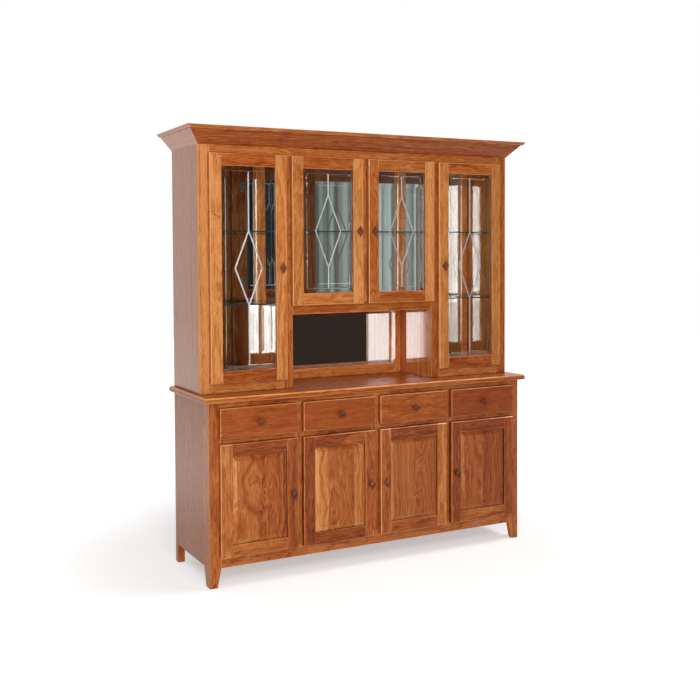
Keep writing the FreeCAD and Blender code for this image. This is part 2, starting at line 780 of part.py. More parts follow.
def hinge_plate(label, number, front, z):
    """A plate on the edge of the face frame and the arm that carries the cup."""
    back_y = f"{front} + frame_thickness"
    plate = board(f"{label}_plate", from_hinge(number, "door_overlay", "plate_thickness"), front,
                  f"{z} - plate_height / 2", "plate_thickness", f"{back_y} - ({front})", "plate_height")
    reach = "flange_start + flange_width - door_overlay - plate_thickness"
    arm = board(f"{label}_arm", from_hinge(number, "door_overlay + plate_thickness", reach), front,
                f"{z} - arm_height / 2", reach, "arm_depth", "arm_height")
    return [plate, arm]


def door_members(label, number, low, height, front, pocket, bore_heights):
    """Two stiles and two rails, cut by the pocket that holds the panel or the glass."""
    face = f"{front} - door_proud"
    inner_width = "door_width - 2 * door_member"
    left = bay_left(number)
    hinge_is_left = number in HUNG_LEFT
    bores = []
    for index, z in enumerate(bore_heights):
        bores.append(rod(f"{label}_bore_{index + 1}", from_hinge(number, "cup_setback"),
                         f"{front} - door_stand_off - cup_depth", z, "cup_radius + bore_clearance",
                         "cup_depth", AXIS_BACK))
    bored = join(f"{label}_bores", bores)
    slab = eased_slab(f"{label}_slab", bay_middle(number), face, f"{low} + {height} / 2",
                      "door_width", height)
    pieces = []
    for name, x, is_hinge in (("left_stile", left, hinge_is_left),
                              ("right_stile", f"{left} + door_width - door_member", not hinge_is_left)):
        blank = board(f"{label}_{name}_blank", x, face, low, "door_member", "door_thickness", height)
        if is_hinge:
            blank = cut(f"{label}_{name}_bored", blank, bored)
        eased = keep(f"{label}_{name}_eased", blank, slab)
        pieces.append(cut(f"{label}_{name}", eased, pocket))
    for name, z in (("low_rail", low), ("high_rail", f"{low} + {height} - door_member")):
        blank = board(f"{label}_{name}_blank", f"{left} + door_member", face, z, inner_width,
                      "door_thickness", "door_member")
        eased = keep(f"{label}_{name}_eased", blank, slab)
        pieces.append(cut(f"{label}_{name}", eased, pocket))
    return pieces


def panel_door(number):
    label = f"base_door_{number}"
    low, height, front = "base_door_low", "base_door_height", "base_front"
    face = f"{front} - door_proud"
    x, z = bay_middle(number), f"({low} + {height} / 2)"
    field = ("door_width - 2 * door_member", f"{height} - 2 * door_member")
    pocket = board(f"{label}_groove", f"{bay_left(number)} + door_member - groove_depth",
                   f"{face} + groove_setback", f"{low} + door_member - groove_depth",
                   f"{field[0]} + 2 * groove_depth", "groove_width", f"{field[1]} + 2 * groove_depth")
    heights = hinge_heights(low, height, PAIR_SHARES)
    node(f"{label}_frame", door_members(label, number, low, height, front, pocket, heights))
    tongue = board(f"{label}_tongue", f"{bay_left(number)} + door_member - groove_depth + panel_float",
                   f"{face} + groove_setback", f"{low} + door_member - groove_depth + panel_float",
                   f"{field[0]} + 2 * groove_depth - 2 * panel_float", "groove_width",
                   f"{field[1]} + 2 * groove_depth - 2 * panel_float")
    base = tuple(f"{size} - 2 * panel_float" for size in field)
    raised = tuple(f"{size} - 2 * panel_bevel" for size in field)
    bevelled = rise(f"{label}_raised", x, f"{face} + groove_setback", z, base, raised,
                    "groove_setback - panel_set_in")
    node(f"{label}_panel", [join(f"{label}_panel_solid", [tongue, bevelled])])
    node(f"{label}_hinge_cups", [hinge_cup(f"{label}_cup_{index + 1}", number, front, z_cup)
                                 for index, z_cup in enumerate(heights)])
    knob(f"{label}_knob", from_hinge(number, "door_width - door_member / 2"), face, z,
         "knob_width", "knob_length")
    return [piece for index, z_cup in enumerate(heights)
            for piece in hinge_plate(f"{label}_hinge_{index + 1}", number, front, z_cup)]


def glass_door(number):
    label = f"hutch_door_{number}"
    is_tall = number in (BAYS[0], BAYS[-1])
    low = "tall_door_low" if is_tall else "short_door_low"
    height = "tall_door_height" if is_tall else "short_door_height"
    front = "hutch_front"
    face = f"{front} - door_proud"
    x, z = bay_middle(number), f"({low} + {height} / 2)"
    field = ("door_width - 2 * door_member", f"{height} - 2 * door_member")
    rebate_x = f"{bay_left(number)} + door_member - rebate_depth"
    rebate_z = f"{low} + door_member - rebate_depth"
    rebate = tuple(f"{size} + 2 * rebate_depth" for size in field)
    depth = "door_thickness - glass_set_in"
    pocket = board(f"{label}_rebate", rebate_x, f"{face} + glass_set_in", rebate_z,
                   rebate[0], depth, rebate[1])
    heights = hinge_heights(low, height, TRIPLE_SHARES if is_tall else PAIR_SHARES)
    stop_y = f"{face} + glass_set_in + glass_rise + glass_edge"
    stop_depth = f"{depth} - glass_rise - glass_edge"
    pieces = door_members(label, number, low, height, front, pocket, heights)
    for name, stop_x in (("left", rebate_x), ("right", f"{rebate_x} + {rebate[0]} - rebate_depth")):
        pieces.append(board(f"{label}_{name}_stop", stop_x, stop_y, rebate_z,
                            "rebate_depth", stop_depth, rebate[1]))
    for name, stop_z in (("low", rebate_z), ("high", f"{rebate_z} + {rebate[1]} - rebate_depth")):
        pieces.append(board(f"{label}_{name}_stop", f"{rebate_x} + rebate_depth", stop_y, stop_z,
                            field[0], stop_depth, "rebate_depth"))
    node(f"{label}_frame", pieces)
    sheet_size = tuple(f"{size} - 2 * panel_float" for size in rebate)
    flat = tuple(f"{size} - 2 * glass_bevel" for size in field)
    plate = rise(f"{label}_plate", x, stop_y, z, sheet_size, sheet_size, "glass_edge")
    bevelled = rise(f"{label}_bevel", x, f"{stop_y} - glass_edge", z, sheet_size, flat, "glass_rise")
    node(f"{label}_glass", [join(f"{label}_glass_solid", [plate, bevelled])])
    node(f"{label}_hinge_cups", [hinge_cup(f"{label}_cup_{index + 1}", number, front, z_cup)
                                 for index, z_cup in enumerate(heights)])
    knob(f"{label}_knob", from_hinge(number, "door_width - door_member / 2"), face, z,
         "knob_width", "knob_length")
    return [piece for index, z_cup in enumerate(heights)
            for piece in hinge_plate(f"{label}_hinge_{index + 1}", number, front, z_cup)]


def drawer(number):
    label = f"drawer_{number}"
    face = "base_front - door_proud"
    middle = "(drawer_low + drawer_height / 2)"
    slab = eased_slab(f"{label}_slab", bay_middle(number), face, middle, "door_width", "drawer_height")
    node(f"{label}_front", [slab])
    left = f"{bay_left(number)} + door_overlay + drawer_side_gap"
    inner_width = "box_width - 2 * box_wall"
    groove = board(f"{label}_groove", f"{left} + box_wall - box_groove", "box_front + box_wall - box_groove",
                   "box_low + box_bottom_lift", f"{inner_width} + 2 * box_groove",
                   "box_depth - 2 * box_wall + 2 * box_groove", "box_bottom")
    pieces = []
    for name, x in (("left", left), ("right", f"{left} + box_width - box_wall")):
        side = board(f"{label}_{name}_blank", x, "box_front", "box_low",
                     "box_wall", "box_depth", "box_height")
        pieces.append(cut(f"{label}_{name}_side", side, groove))
    for name, y in (("inner_front", "box_front"), ("back", "box_front + box_depth - box_wall")):
        end = board(f"{label}_{name}_blank", f"{left} + box_wall", y, "box_low",
                    inner_width, "box_wall", "box_height")
        pieces.append(cut(f"{label}_{name}", end, groove))
    pieces.append(board(f"{label}_bottom", f"{left} + box_wall - box_groove + panel_float",
                        "box_front + box_wall - box_groove + panel_float", "box_low + box_bottom_lift",
                        f"{inner_width} + 2 * box_groove - 2 * panel_float",
                        "box_depth - 2 * box_wall + 2 * box_groove - 2 * panel_float", "box_bottom"))
    node(f"{label}_box", pieces)
    knob(f"{label}_knob", bay_middle(number), face, middle, "knob_length", "knob_width")


def check_document():
    """Stop unless every object is sound and every sub-part has a valid shape."""
    document.recompute()
    for thing in document.Objects:
        if "Invalid" in thing.State or "Error" in thing.State:
            raise RuntimeError(f"{thing.Label} failed: {thing.State}")
    for label, thing in nodes.items():
        if thing.Shape.isNull() or not thing.Shape.isValid():
            raise RuntimeError(f"{label} has no valid shape")


def write_parts():
    os.makedirs("parts", exist_ok=True)
    for label, thing in nodes.items():
        thing.Shape.exportStep(f"parts/{label}.step")


fill_sheet()
base_posts()
base_sides()
base_face_frame()
base_floor_and_shelves()
base_back()
drawer_runners()
countertop()
hutch_sides()
hutch_decks()
hutch_face_frame()
hutch_back()
mirrors()
shelves_and_pins()
crown_molding()
plates = []
for door in BAYS:
    drawer(door)
    plates += panel_door(door)
    plates += glass_door(door)
node("hinge_plates", plates)
check_document()
write_parts()
print(f"{len(nodes)} sub-parts written")
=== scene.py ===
import json
import math
import random

import bmesh
import bpy
from mathutils import Matrix, Vector


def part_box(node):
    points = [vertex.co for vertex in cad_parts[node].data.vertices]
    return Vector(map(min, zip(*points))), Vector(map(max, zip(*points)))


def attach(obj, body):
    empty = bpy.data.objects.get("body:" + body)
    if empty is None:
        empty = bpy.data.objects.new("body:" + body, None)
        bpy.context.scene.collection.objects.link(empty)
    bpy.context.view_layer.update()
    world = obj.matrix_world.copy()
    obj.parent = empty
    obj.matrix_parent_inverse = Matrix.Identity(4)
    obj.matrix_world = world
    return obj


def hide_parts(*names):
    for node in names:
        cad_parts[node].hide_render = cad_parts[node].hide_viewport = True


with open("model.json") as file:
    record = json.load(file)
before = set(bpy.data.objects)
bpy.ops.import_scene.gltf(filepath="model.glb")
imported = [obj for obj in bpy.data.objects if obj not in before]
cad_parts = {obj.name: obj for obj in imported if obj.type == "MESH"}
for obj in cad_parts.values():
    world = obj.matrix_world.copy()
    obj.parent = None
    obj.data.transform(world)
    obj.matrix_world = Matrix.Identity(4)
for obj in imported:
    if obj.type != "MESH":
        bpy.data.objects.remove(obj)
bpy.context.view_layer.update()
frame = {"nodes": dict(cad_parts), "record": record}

# Sideboard with a china hutch, dressed in cherry, glass and mirrors. Metres, in the frame of the solids.

node_body = {
    node: body
    for body, nodes in frame["record"]["behaviour"]["bodies"].items()
    for node in nodes
}
DOORS = (1, 2, 3, 4)
TALL_DOORS = (1, 4)

# Camera, fitted to the corners of the piece in the photograph
IMAGE_SIZE = 700
CAMERA_PLACE = Vector((-2.407, -4.06425, 1.495))
CAMERA_YAW = math.radians(25.30)
CAMERA_PITCH = math.radians(1.93)
CAMERA_ROLL = math.radians(-0.43)
FOCAL_PIXELS = 935.2
PRINCIPAL_PIXEL = (266.9, 287.5)
SENSOR_WIDTH = 36.0

# Edges of the boards
EASE = 0.0012
KNOB_EASE = 0.0007
EASE_SEGMENTS = 2
SHARP_ANGLE = math.radians(30)
FLAT_ANGLE = math.radians(1)
POINT_DIGITS = 6
CUT_SLACK = 1e-6

# Strips that a wide board is glued up from, and how their places in the tree and their looks vary
WIDEST_BOARD = 0.17
STRIP_WIDTH = 0.115
STRIP_SHIFT = 0.25
LENGTH_OFFSET = 40.0
PITH_SIDE = 0.05
PITH_DEPTH = (0.035, 0.16)
MEAN_FIGURE, FIGURE_SPREAD = 0.45, 0.2
VALUE_SPREAD = 0.03

# How much of a face's normal lies along an axis, where the face looks that way, slants or leans to it
FACING, SLANTED, LEANING = 0.5, 0.3, 0.2

# Front feet, each of a front board and a side board
FOOT_BOARD = 0.022
FOOT_WIDTH, FOOT_DEPTH = 0.037, 0.046

# Painted shade in the corners and gaps, painted highlights along the edges, and painted light and shade on
# the bevels of raised panels
PAINTED_SHADE_REACH = 0.007
PAINTED_SHADE_DARKEST = 0.06
PAINTED_SHADE_FROM, PAINTED_SHADE_TO = 0.35, 0.85
PAINTED_SHADE_SAMPLES = 6
EDGE_HIGHLIGHT_TONE, EDGE_HIGHLIGHT_VALUE = 0.40, 1.25
WIDEST_EDGE = 0.006
PAINTED_BEVEL_SIDES, PAINTED_BEVEL_LEFT, PAINTED_BEVEL_LOW = 0.35, 0.65, 0.35

# Where the looks of the boards change
INNER_WALL = 0.855
LEFT_STILE = -0.6
NOOK_RAIL_LOW, NOOK_RAIL_HIGH = 1.15, 1.32
FOOT_RAIL_HIGH, COUNTER_RAIL_LOW = 0.20, 0.80
CAP_LOW = 2.067
WIDEST_POST = 0.3
UPRIGHT = 2

# Grain of wood, in features per metre along a board, across it and through it
SWAY_ALONG, SWAY_ACROSS = 1.6, 5.0
SHIFT_ALONG, SHIFT_ACROSS = 2.3, 9.0
STREAK_SCALES = (3.5, 210.0, 210.0)
FIBRE_SCALES = (22.0, 640.0, 640.0)
MOTTLE_SCALES = (15.0, 52.0, 52.0)
FLECK_SCALES = (60.0, 330.0, 330.0)
BANDS_PER_METRE = 75.0
RINGS_PER_METRE = 120.0

# How far the grain strays, and how much each part of it shows in the tone and on the surface
SWAY_REACH, SHIFT_REACH = 0.055, 0.075
RING_WANDER = 2.5
BAND_WEIGHT, STREAK_WEIGHT, FIBRE_WEIGHT = 0.75, 0.45, 0.8
FLECK_FROM, FLECK_TO, FLECK_DEPTH = 0.66, 0.76, 0.55
RING_RELIEF = 0.6
RELIEF_DEPTH = 0.0004

# Shares of a wood's roughness: the least that its fibres have, and what they add
LEAST_ROUGH, MORE_ROUGH = 0.75, 0.5

# Values of a noise: its middle, and the range that most of it lies in
NOISE_MIDDLE = 0.5
NOISE_LOW, NOISE_HIGH = 0.3, 0.7

# Cut glass
GLASS_IOR = 1.5
GROOVE_WIDTH = 0.0070
GROOVE_DEPTH = 0.0019
GROOVE_SLOPE = math.cos(math.atan2(GROOVE_DEPTH, GROOVE_WIDTH / 2))
GROOVE_SLOPE_SLACK = 0.05
FULL_CUT, BORDER_CUT = 1.0, 0.35
DIAMOND_HALF_WIDTH = 0.069
DIAMOND_HALF_HEIGHT = 0.173
TALL_DIAMOND_HEIGHT = 1.440
SHORT_DIAMOND_HEIGHT = 1.612
GLASS_BEVEL = 0.022
DOOR_MEMBER = 0.057

# Floor and even light
WHITE = (1.0, 1.0, 1.0, 1.0)
FLOOR_COLOUR = (0.86, 0.86, 0.86, 1.0)
FLOOR_SIZE = 24.0
FLOOR_WHITE_FROM, FLOOR_WHITE_TO = 0.9, 2.6
FLOOR_GLOW_NEAR, FLOOR_GLOW_FAR = 0.42, 1.0
WORLD_LIGHT = 0.21

# What the mirrors look at: a flat glowing card to the right of the camera, with tones at places along its
# length and painted bands of light and shade
CARD_LEFT, CARD_RIGHT, CARD_TOP = 0.2, 6.0, 3.6
CARD_BEHIND = -4.9
CARD_TONES = [(2.15, (0.016, 0.020, 0.026)), (2.40, (0.110, 0.125, 0.120)), (2.60, (0.210, 0.235, 0.220)),
              (2.75, (0.140, 0.160, 0.150)), (2.95, (0.270, 0.295, 0.280)), (3.10, (0.190, 0.215, 0.200)),
              (3.35, (0.280, 0.310, 0.300)), (3.60, (0.370, 0.410, 0.400)), (3.80, (0.300, 0.335, 0.325)),
              (4.12, (0.420, 0.460, 0.440)), (4.26, (0.030, 0.027, 0.024))]
CARD_BANDS = 9.0
CARD_BAND_FROM, CARD_BAND_TO = 0.35, 0.65
CARD_DARKEST, CARD_LIGHTEST = 0.4, 1.6
CARD_LOW_TONE = (0.034, 0.024, 0.018)
CARD_LOW_FROM, CARD_LOW_TO = 0.85, 1.10


class Tree:
    """The nodes of one material or of the world, made and linked by short calls."""

    def __init__(self, name=None, tree=None):
        if tree is None:
            self.material = bpy.data.materials.new(name)
            self.material.use_nodes = True
            tree = self.material.node_tree
        self.nodes = tree.nodes
        self.links = tree.links
        self.nodes.clear()

    def node(self, kind, settings=None, **inputs):
        """A node with its settings, and its inputs set to values or linked to sockets."""
        made = self.nodes.new("ShaderNode" + kind)
        for name, value in (settings or {}).items():
            setattr(made, name, value)
        for name, value in inputs.items():
            self.feed(made.inputs[name.replace("_", " ")], value)
        return made

    def feed(self, socket, value):
        if isinstance(value, bpy.types.NodeSocket):
            self.links.new(value, socket)
        else:
            socket.default_value = value

    def math(self, operation, *values):
        made = self.nodes.new("ShaderNodeMath")
        made.operation = operation
        for socket, value in zip(made.inputs, values):
            self.feed(socket, value)
        return made.outputs[0]

    def total(self, first, *others):
        """Sum of sockets."""
        for other in others:
            first = self.math("ADD", first, other)
        return first

    def swing(self, noise, reach):
        """A noise less its middle, times its reach."""
        return self.math("MULTIPLY", self.math("SUBTRACT", noise, NOISE_MIDDLE), reach)

    def rising(self, noise, least, more):
        """A number that rises with a noise from its least value."""
        return self.math("ADD", self.math("MULTIPLY", noise, more), least)

    def noise(self, vector, scales, detail=2.0, roughness=0.5, distortion=0.0):
        """Noise whose features are stretched by a scale for each axis, in features per metre."""
        stretched = self.node("VectorMath", {"operation": "MULTIPLY"})
        self.feed(stretched.inputs[0], vector)
        self.feed(stretched.inputs[1], scales)
        made = self.node("TexNoise", Vector=stretched.outputs[0], Scale=1.0, Detail=detail,
                         Roughness=roughness, Distortion=distortion)
        return made.outputs["Fac"]

    def noise_along(self, value, scale, detail, roughness=0.6):
        """Noise along one number."""
        made = self.node("TexNoise", {"noise_dimensions": "1D"}, W=value, Scale=scale, Detail=detail,
                         Roughness=roughness)
        return made.outputs["Fac"]

    def cloud(self, scales, detail=2.0):
        """Noise by the place on the object."""
        return self.noise(self.node("TexCoord").outputs["Object"], scales, detail)

    def ramp(self, value, stops):
        """A colour that goes with a value from stop to stop."""
        made = self.node("ValToRGB", Fac=value)
        elements = made.color_ramp.elements
        while len(elements) < len(stops):
            elements.new(1.0)
        for element, (place, colour) in zip(elements, stops):
            element.position = place
            element.color = (*colour, 1.0)
        return made.outputs["Color"]

    def two_tone(self, noise, dark, light):
        """A colour that goes with a noise from dark to light."""
        return self.ramp(noise, [(NOISE_LOW, dark), (NOISE_HIGH, light)])

    def finish(self, shader):
        output = self.node("OutputMaterial")
        self.links.new(shader, output.inputs["Surface"])
        return self.material


def wood(name, stops, roughness, shine, contrast=1.0, relief=0.18, arches=1.0, ring_depth=0.20,
         ring_fall=6.0):
    """Wood whose rings, fibres and figure follow each board's own grain."""
    tree = Tree(name)
    grain = tree.node("Attribute", {"attribute_name": "grain"}).outputs["Vector"]
    board = tree.node("Attribute", {"attribute_name": "board"}).outputs["Vector"]
    tone, value, figure = tree.node("SeparateXYZ", Vector=board).outputs
    place = tree.node("SeparateXYZ", Vector=grain).outputs
    sway = tree.noise(grain, (SWAY_ALONG * arches, SWAY_ACROSS, SWAY_ACROSS))
    shift = tree.noise(grain, (SHIFT_ALONG * arches, SHIFT_ACROSS, SHIFT_ACROSS), detail=3.0)
    across = tree.total(place["Y"], tree.swing(sway, SWAY_REACH))
    through = tree.total(place["Z"], tree.swing(shift, SHIFT_REACH))
    squares = tree.total(tree.math("MULTIPLY", across, across), tree.math("MULTIPLY", through, through))
    radius = tree.math("SQRT", squares)
    bands = tree.noise_along(radius, BANDS_PER_METRE, detail=3.0)
    ring_count = tree.total(tree.math("MULTIPLY", radius, RINGS_PER_METRE),
                            tree.math("MULTIPLY", bands, RING_WANDER))
    rings = tree.math("POWER", tree.math("FRACT", ring_count), ring_fall)
    streaks = tree.noise(grain, STREAK_SCALES, roughness=0.6)
    fibres = tree.noise(grain, FIBRE_SCALES)
    mottle = tree.noise(grain, MOTTLE_SCALES, detail=3.0, roughness=0.6, distortion=0.8)
    flecks = tree.node("MapRange", Value=tree.noise(grain, FLECK_SCALES, detail=1.0), From_Min=FLECK_FROM,
                       From_Max=FLECK_TO, To_Max=FLECK_DEPTH * contrast)
    shade = tree.total(tree.swing(bands, BAND_WEIGHT * contrast),
                       tree.swing(streaks, STREAK_WEIGHT * contrast),
                       tree.swing(fibres, FIBRE_WEIGHT * contrast),
                       tree.swing(mottle, figure),
                       tone)
    shade = tree.math("SUBTRACT", shade, tree.math("MULTIPLY", rings, ring_depth * contrast))
    shade = tree.math("SUBTRACT", shade, flecks.outputs["Result"])
    # Painted shade: the colour darkens where other surfaces stand close, in corners and in the gaps between
    # parts
    corners = tree.node("AmbientOcclusion", {"samples": PAINTED_SHADE_SAMPLES}, Distance=PAINTED_SHADE_REACH)
    painted_shade = tree.node("MapRange", Value=corners.outputs["AO"], From_Min=PAINTED_SHADE_FROM, From_Max=PAINTED_SHADE_TO,
                      To_Min=PAINTED_SHADE_DARKEST)
    shaded = tree.math("MULTIPLY", value, painted_shade.outputs["Result"])
    colour = tree.node("HueSaturation", Color=tree.ramp(shade, stops), Value=shaded)
    gloss = tree.rising(fibres, roughness * LEAST_ROUGH, roughness * MORE_ROUGH)
    height = tree.total(fibres, tree.math("MULTIPLY", rings, RING_RELIEF))
    bump = tree.node("Bump", Height=height, Strength=relief, Distance=RELIEF_DEPTH)
    shader = tree.node("BsdfPrincipled", Base_Color=colour.outputs["Color"], Roughness=gloss,
                       Normal=bump.outputs["Normal"], Specular_IOR_Level=shine)
    return tree.finish(shader.outputs["BSDF"])


def clear_glass(name, colour, density):
    """Clear glass that lets light through to what stands behind it."""
    tree = Tree(name)
    polish = tree.rising(tree.cloud(scales=(9.0, 9.0, 9.0)), least=0.0, more=0.02)
    glass = tree.node("BsdfPrincipled", Base_Color=(*colour, 1.0), Roughness=polish, IOR=GLASS_IOR,
                      Transmission_Weight=1.0)
    through = tree.node("BsdfTransparent", Color=(*density, 1.0))
    path = tree.node("LightPath").outputs
    mixed = tree.node("MixShader", Fac=tree.math("MAXIMUM", path["Is Shadow Ray"], path["Is Diffuse Ray"]))
    tree.links.new(glass.outputs["BSDF"], mixed.inputs[1])
    tree.links.new(through.outputs["BSDF"], mixed.inputs[2])
    return tree.finish(mixed.outputs["Shader"])


def ground_line(name):
    """The sides of a line cut into glass, a little matt, so that they catch light."""
    tree = Tree(name)
    cloud = tree.cloud(scales=(60.0, 60.0, 60.0))
    colour = tree.two_tone(cloud, dark=(0.86, 0.88, 0.87), light=(0.96, 0.98, 0.97))
    matt = tree.rising(cloud, least=0.2, more=0.1)
    shader = tree.node("BsdfPrincipled", Base_Color=colour, Roughness=matt, IOR=GLASS_IOR,
                       Transmission_Weight=0.75)
    return tree.finish(shader.outputs["BSDF"])


def ground_edge(name):
    """The ground edge of a glass sheet, dark green with the depth of glass behind it."""
    tree = Tree(name)
    cloud = tree.cloud(scales=(14.0, 14.0, 220.0))
    colour = tree.two_tone(cloud, dark=(0.010, 0.022, 0.017), light=(0.030, 0.058, 0.046))
    gloss = tree.rising(cloud, least=0.1, more=0.2)
    shader = tree.node("BsdfPrincipled", Base_Color=colour, Roughness=gloss)
    return tree.finish(shader.outputs["BSDF"])


def silvered(name):
    """The silver of a mirror."""
    tree = Tree(name)
    cloud = tree.cloud(scales=(6.0, 6.0, 6.0), detail=3.0)
    colour = tree.two_tone(cloud, dark=(0.80, 0.84, 0.83), light=(0.86, 0.89, 0.88))
    polish = tree.rising(cloud, least=0.0, more=0.025)
    shader = tree.node("BsdfPrincipled", Base_Color=colour, Roughness=polish, Metallic=1.0)
    return tree.finish(shader.outputs["BSDF"])


def metal(name, dark, light, least_roughness):
    """Plated metal with fine drawn lines."""
    tree = Tree(name)
    lines = tree.cloud(scales=(1500.0, 1500.0, 60.0))
    colour = tree.two_tone(lines, dark, light)
    gloss = tree.rising(lines, least=least_roughness, more=0.2)
    bump = tree.node("Bump", Height=lines, Strength=0.1, Distance=0.0001)
    shader = tree.node("BsdfPrincipled", Base_Color=colour, Roughness=gloss, Metallic=1.0,
                       Normal=bump.outputs["Normal"])
    return tree.finish(shader.outputs["BSDF"])


CHERRY_STOPS = [(0.0, (0.135, 0.024, 0.005)), (0.35, (0.33, 0.068, 0.011)), (0.65, (0.47, 0.147, 0.033)),
                (1.0, (0.68, 0.285, 0.092))]
KNOB_STOPS = [(0.0, (0.06, 0.015, 0.005)), (0.5, (0.15, 0.038, 0.011)), (1.0, (0.27, 0.083, 0.024))]
PLY_STOPS = [(0.0, (0.22, 0.075, 0.03)), (0.5, (0.36, 0.14, 0.05)), (1.0, (0.52, 0.24, 0.10))]
MAPLE_STOPS = [(0.0, (0.40, 0.25, 0.12)), (0.5, (0.56, 0.39, 0.21)), (1.0, (0.70, 0.54, 0.33))]

materials = {
    "cherry": wood("cherry", CHERRY_STOPS, roughness=0.27, shine=0.17, contrast=1.25),
    "even_cherry": wood("even_cherry", CHERRY_STOPS, roughness=0.27, shine=0.17, contrast=0.5),
    "figured_cherry": wood("figured_cherry", CHERRY_STOPS, roughness=0.27, shine=0.17, contrast=0.75,
                           arches=2.0, ring_depth=0.45, ring_fall=2.5),
    "polished_cherry": wood("polished_cherry", CHERRY_STOPS, roughness=0.06, shine=0.5, relief=0.01),
    "sheen_cherry": wood("sheen_cherry", CHERRY_STOPS, roughness=0.22, shine=0.75, contrast=0.5),
    "soft_sheen_cherry": wood("soft_sheen_cherry", CHERRY_STOPS, roughness=0.22, shine=0.24, contrast=0.5),
    "plywood": wood("stained_plywood", PLY_STOPS, roughness=0.5, shine=0.2, contrast=0.7),
    "drawer_maple": wood("drawer_maple", MAPLE_STOPS, roughness=0.48, shine=0.25, contrast=0.6),
    "knob_wood": wood("knob_wood", KNOB_STOPS, roughness=0.28, shine=0.12),
    "door_glass": clear_glass("door_glass", colour=(0.97, 0.99, 0.98), density=(0.93, 0.95, 0.94)),
    "cut_line": ground_line("cut_line"),
    "shelf_glass": clear_glass("shelf_glass", colour=(0.80, 0.93, 0.88), density=(0.86, 0.92, 0.89)),
    "shelf_edge": ground_edge("shelf_edge"),
    "mirror": silvered("mirror_silver"),
    "pin_brass": metal("pin_brass", dark=(0.42, 0.29, 0.12), light=(0.62, 0.46, 0.22), least_roughness=0.2),
    "hinge_steel": metal("hinge_steel", dark=(0.48, 0.48, 0.47), light=(0.66, 0.66, 0.65),
                         least_roughness=0.22),
}


def add_object(name, data):
    """A new object in the scene."""
    made = bpy.data.objects.new(name, data)
    bpy.context.scene.collection.objects.link(made)
    return made


def stand_for(piece, node):
    """Put a piece in the place of a node, on the body that the node rides on."""
    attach(piece, node_body[node])
    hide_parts(node)


# Solids, each a list of faces, which are lists of corner points

def solids_of(mesh):
    """Each closed solid in a mesh, in stored order."""
    points = [tuple(round(part, POINT_DIGITS) for part in vertex.co) for vertex in mesh.vertices]
    solids, faces, open_edges = [], [], set()
    for polygon in mesh.polygons:
        corners = [points[index] for index in polygon.vertices]
        faces.append(corners)
        for start, end in zip(corners, corners[1:] + corners[:1]):
            if (end, start) in open_edges:
                open_edges.remove((end, start))
            else:
                open_edges.add((start, end))
        if not open_edges:
            solids.append(faces)
            faces = []
    return solids


def solid_mesh(faces):
    """A closed mesh of a solid, with flat areas made whole."""
    shape = bmesh.new()
    vertices = {}
    for corners in faces:
        for corner in corners:
            if corner not in vertices:
                vertices[corner] = shape.verts.new(corner)
        if len(set(corners)) == len(corners):
            shape.faces.new([vertices[corner] for corner in corners])
    bmesh.ops.dissolve_limit(shape, angle_limit=FLAT_ANGLE, verts=shape.verts, edges=shape.edges)
    return shape


def box_of(faces):
    """Lowest and highest corner of a solid."""
    corners = [corner for face in faces for corner in face]
    return (Vector(min(corner[axis] for corner in corners) for axis in range(3)),
            Vector(max(corner[axis] for corner in corners) for axis in range(3)))


def centre_of(faces):
    low, high = box_of(faces)
    return (low + high) / 2


def is_upright(faces):
    """Whether a solid is longest from floor to ceiling."""
    low, high = box_of(faces)
    size = high - low
    return size.z == max(size)


def stacked(rings):
    """A solid through rings of as many points each, from the lowest up."""
    faces = [rings[0][::-1], rings[-1]]
    for under, over in zip(rings, rings[1:]):
        for index in range(len(under)):
            after = (index + 1) % len(under)
            faces.append([under[index], under[after], over[after], over[index]])
    return faces


def bracket_foot(faces):
    """A front post as a front and a side board, which meet in a mitre and taper to the floor, and a core."""
    low, high = box_of(faces)
    on_left = low.x + high.x < 0
    outer, inner = (low.x, high.x) if on_left else (high.x, low.x)
    inward = 1 if on_left else -1
    leg_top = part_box("base_sides")[0].z
    lining_x = outer + inward * FOOT_BOARD
    lining_y = low.y + FOOT_BOARD
    levels = ((low.z, outer + inward * FOOT_WIDTH, low.y + FOOT_DEPTH), (leg_top, inner, high.y),
              (high.z, inner, high.y))
    front, side, core = [], [], []
    for z, inner_x, back_y in levels:
        corner = (outer, low.y, z)
        lining = (lining_x, lining_y, z)
        front_end = (inner_x, lining_y, z)
        side_end = (lining_x, back_y, z)
        front.append([corner, (inner_x, low.y, z), front_end, lining])
        side.append([corner, lining, side_end, (outer, back_y, z)])
        core.append([lining, front_end, (inner_x, back_y, z), side_end])
    return [stacked([ring[::inward] for ring in rings]) for rings in (front, side, core[1:])]


def post_solids(mesh):
    """The rear posts as they are, and the boards of the front ones."""
    solids = []
    for faces in solids_of(mesh):
        solids += [faces] if centre_of(faces).y > 0 else bracket_foot(faces)
    return solids


# Finishes of a piece's faces, by their place in its materials
PLAIN, POLISHED, OUTER = 0, 1, 2


def is_edge(face):
    """Whether a face is an eased or chamfered edge: narrow, and turned between two sides of its board."""
    width = face.calc_area() / max(edge.calc_length() for edge in face.edges)
    return width < WIDEST_EDGE and sum(abs(part) > SLANTED for part in face.normal) > 1


def plain_all_over(face):
    return PLAIN


def polished_edges(face):
    return POLISHED if is_edge(face) else PLAIN


def polished_walls(face):
    """Bright polish for the walls that look across the hutch, the outer finish for the outer sides."""
    if abs(face.normal.x) < FACING:
        return PLAIN
    return POLISHED if abs(face.calc_center_median().x) < INNER_WALL else OUTER


def rear_and_walls(face):
    """The outer finish at the rear, bright polish for what looks across the hutch."""
    return OUTER if face.normal.y > FACING else polished_walls(face)


def outer_sides(face):
    """The outer finish for the outer sides alone."""
    if abs(face.normal.x) < LEANING or abs(face.calc_center_median().x) < INNER_WALL:
        return PLAIN
    return OUTER


# Boards

